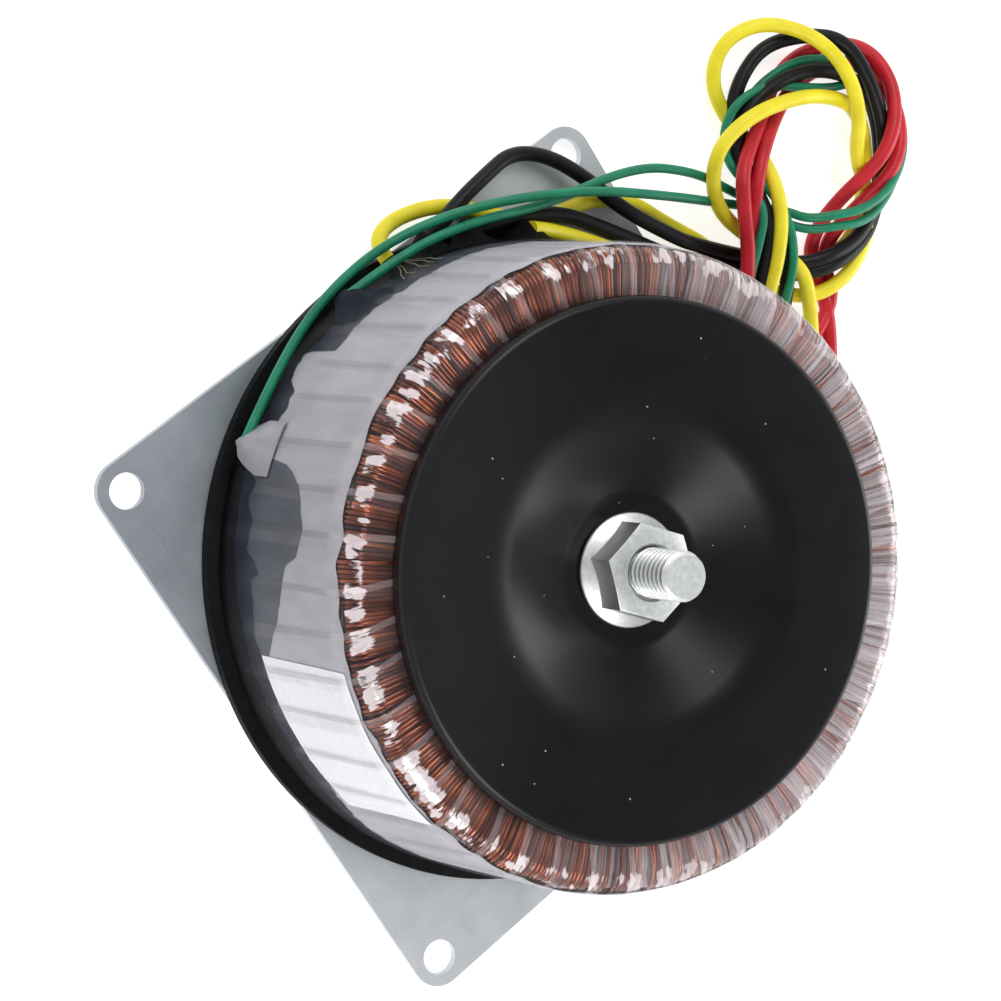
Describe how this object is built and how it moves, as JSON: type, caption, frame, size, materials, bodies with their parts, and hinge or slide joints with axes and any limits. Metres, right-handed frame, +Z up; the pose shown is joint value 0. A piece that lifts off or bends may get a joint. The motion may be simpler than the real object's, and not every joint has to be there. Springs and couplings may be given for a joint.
{
  "type": "toroidal transformer",
  "caption": "Toroidal mains transformer on a square zinc plate, with a dished black cover disc, centre bolt, flange nut and looped coloured flying leads.",
  "frame": {"origin": "middle of the mounting plate's underside, on the centre bolt's axis", "axes": "+Z up the centre bolt, +X and +Y along the edges of the square mounting plate"},
  "size_m": [0.1153, 0.1694, 0.0604],
  "materials": {
    "zinc_plate": "satin",
    "pad_rubber": "matte",
    "core_steel": "satin",
    "core_tape": "matte",
    "inner_copper": "gloss",
    "clear_tape": "matte",
    "copper_wire": "gloss",
    "grey_band": "satin",
    "clear_film": "gloss",
    "black_disc": "satin",
    "zinc_bolt": "satin",
    "lead_bundle": "gloss",
    "green_pvc": "gloss",
    "yellow_pvc": "gloss",
    "black_pvc": "gloss",
    "red_pvc": "gloss",
    "tinned_wire": "satin"
  },
  "bodies": {
    "root": {"mounting_plate": "zinc_plate", "base_pad": "pad_rubber", "core": "core_steel", "core_insulation": "core_tape", "primary_winding": "inner_copper", "winding_tape": "clear_tape", "secondary_winding": "copper_wire", "side_band": "grey_band", "film_wrap": "clear_film", "top_pad": "pad_rubber", "cover_disc": "black_disc", "centre_bolt": "zinc_bolt", "flange_nut": "zinc_bolt", "lead_coil": "lead_bundle", "green_lead_1_run": "green_pvc", "green_lead_1_tail": "green_pvc", "green_lead_1_strand": "tinned_wire", "green_lead_2_run": "green_pvc", "green_lead_2_tail": "green_pvc", "green_lead_2_strand": "tinned_wire", "yellow_lead_1_run": "yellow_pvc", "yellow_lead_1_tail": "yellow_pvc", "yellow_lead_1_strand": "tinned_wire", "yellow_lead_2_run": "yellow_pvc", "yellow_lead_2_tail": "yellow_pvc", "yellow_lead_2_strand": "tinned_wire", "black_lead_1_run": "black_pvc", "black_lead_1_tail": "black_pvc", "black_lead_1_strand": "tinned_wire", "black_lead_2_run": "black_pvc", "black_lead_2_tail": "black_pvc", "black_lead_2_strand": "tinned_wire", "red_lead_1_run": "red_pvc", "red_lead_1_tail": "red_pvc", "red_lead_1_strand": "tinned_wire", "red_lead_2_run": "red_pvc", "red_lead_2_tail": "red_pvc", "red_lead_2_strand": "tinned_wire"}
  },
  "joints": []
}
